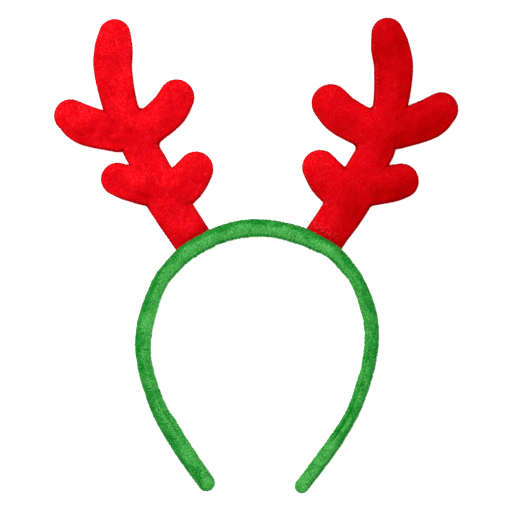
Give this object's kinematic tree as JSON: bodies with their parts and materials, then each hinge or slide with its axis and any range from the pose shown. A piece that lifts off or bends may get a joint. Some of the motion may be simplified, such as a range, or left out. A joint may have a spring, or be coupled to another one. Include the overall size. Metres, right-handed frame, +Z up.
{
  "type": "reindeer antler headband",
  "caption": "Padded velvet headband for the head, with branched stuffed velvet reindeer antlers standing on its crown, lying flat on its back.",
  "frame": {"origin": "middle of the outline, on the surface that the headband lies on", "axes": "+X to the wearer's side that the picture shows on the right, +Y along the headband from the ends of the hoop to the tops of the antlers, +Z up out of the headband's front as it lies on its back"},
  "size_m": [0.226, 0.2656, 0.0129],
  "materials": {
    "band_velvet": "short green velvet pile",
    "lap_velvet": "short green velvet pile, lapped edge",
    "antler_left_velvet": "short red velvet pile",
    "antler_right_velvet": "short red velvet pile, nap brushed the other way"
  },
  "bodies": {
    "root": {"band": "band_velvet", "cover_lap": "lap_velvet", "antler_left": "antler_left_velvet", "antler_right": "antler_right_velvet"}
  },
  "joints": []
}
